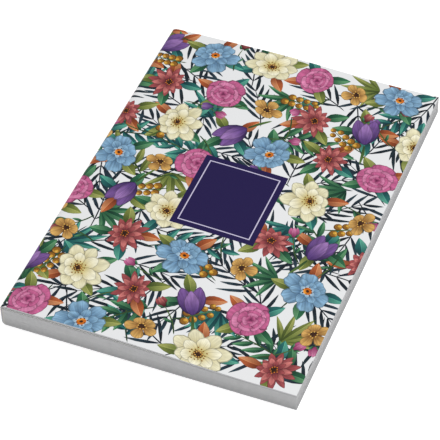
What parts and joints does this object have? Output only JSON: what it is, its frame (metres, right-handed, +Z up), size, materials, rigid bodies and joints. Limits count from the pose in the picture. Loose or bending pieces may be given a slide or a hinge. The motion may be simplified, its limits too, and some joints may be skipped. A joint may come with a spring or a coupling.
{
  "type": "softcover notebook",
  "caption": "Closed perfect-bound softcover notebook with an all-over floral print, a square dark label field and covers that open at the spine.",
  "frame": {"origin": "centre of the underside, on the surface that the closed notebook lies on", "axes": "+X across the cover from the spine to the fore edge, +Y along the spine from the tail to the head, +Z up out of the front cover"},
  "size_m": [0.148, 0.21, 0.0133],
  "materials": {
    "pages": "uncoated cut paper edges",
    "glue": "hot-melt glue",
    "cover_card": "smooth white card, matt laminated outside",
    "ink_dark": "matt print",
    "ink_rust": "matt print",
    "ink_olive": "matt print",
    "ink_green": "matt print",
    "ink_teal": "matt print",
    "ink_mustard": "matt print",
    "ink_ochre": "matt print",
    "ink_purple": "matt print",
    "ink_wine": "matt print",
    "ink_pink": "matt print",
    "ink_blue": "matt print",
    "ink_cream": "matt print",
    "ink_orange": "matt print",
    "ink_navy": "matt print",
    "ink_pale": "matt print"
  },
  "bodies": {
    "root": {"page_block": "pages", "binding_glue": "glue", "spine_cover": "cover_card"},
    "front_cover": {"front_cover": "cover_card", "print_fronds": "ink_dark", "print_rust_leaves": "ink_rust", "print_olive_leaves": "ink_olive", "print_green_leaves": "ink_green", "print_teal_leaves": "ink_teal", "print_mustard_sprigs": "ink_mustard", "print_ochre_blossoms": "ink_ochre", "print_purple_tulips": "ink_purple", "print_wine_blossoms": "ink_wine", "print_pink_blossoms": "ink_pink", "print_blue_blossoms": "ink_blue", "print_cream_blossoms": "ink_cream", "print_blossom_eyes": "ink_orange", "label_field": "ink_navy", "label_line": "ink_pale"},
    "back_cover": {"back_cover": "cover_card"}
  },
  "joints": [
    {"name": "front_cover_hinge", "type": "hinge", "parent": "root", "child": "front_cover", "pos_m": [-0.068, 0, 0.0134], "axis": [0, -1, 0], "range_deg": [0, 180]},
    {"name": "back_cover_hinge", "type": "hinge", "parent": "root", "child": "back_cover", "pos_m": [-0.0732, 0, 0.0004], "axis": [0, 1, 0], "range_deg": [0, 180]}
  ]
}
